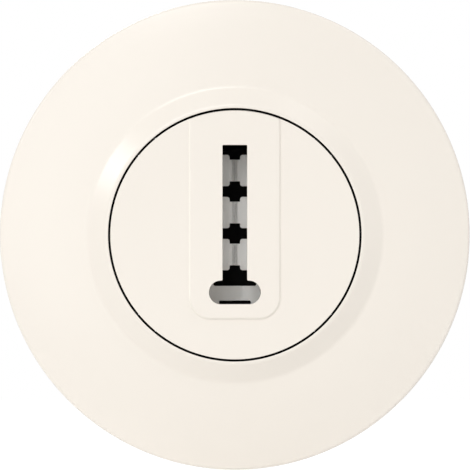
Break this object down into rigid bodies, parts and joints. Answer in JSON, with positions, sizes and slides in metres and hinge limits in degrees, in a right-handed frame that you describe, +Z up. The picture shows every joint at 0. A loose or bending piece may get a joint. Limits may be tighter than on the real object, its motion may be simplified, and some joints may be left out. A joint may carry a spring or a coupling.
{
  "type": "telephone socket",
  "caption": "Round flush-mounted telephone wall socket with a domed ivory cover plate, a flush trim disc and a T-shaped plug opening.",
  "frame": {"origin": "centre of the round plate on the wall plane", "axes": "+Z up, +Y into the wall, so the front faces -Y"},
  "size_m": [0.102, 0.025, 0.102],
  "materials": {
    "ivory_plastic": "smooth satin moulding",
    "grey_plastic": "matt moulding",
    "dark_plastic": "matt moulding",
    "zinc_steel": "bright zinc plating",
    "spring_bronze": "rolled strip",
    "screw_steel": "nickel plating"
  },
  "bodies": {
    "root": {"cover_plate": "ivory_plastic", "trim_disc": "ivory_plastic", "support_frame": "zinc_steel", "contact_housing": "grey_plastic", "terminal_base": "dark_plastic", "terminal_screws": "screw_steel", "body_screws": "screw_steel", "contact_1": "spring_bronze", "contact_2": "spring_bronze", "contact_3": "spring_bronze", "contact_4": "spring_bronze", "contact_5": "spring_bronze", "contact_6": "spring_bronze", "contact_7": "spring_bronze", "contact_8": "spring_bronze", "terminal_clamp_1": "zinc_steel", "terminal_clamp_2": "zinc_steel", "terminal_clamp_3": "zinc_steel", "terminal_clamp_4": "zinc_steel", "terminal_clamp_5": "zinc_steel", "terminal_clamp_6": "zinc_steel", "terminal_clamp_7": "zinc_steel", "terminal_clamp_8": "zinc_steel"}
  },
  "joints": []
}
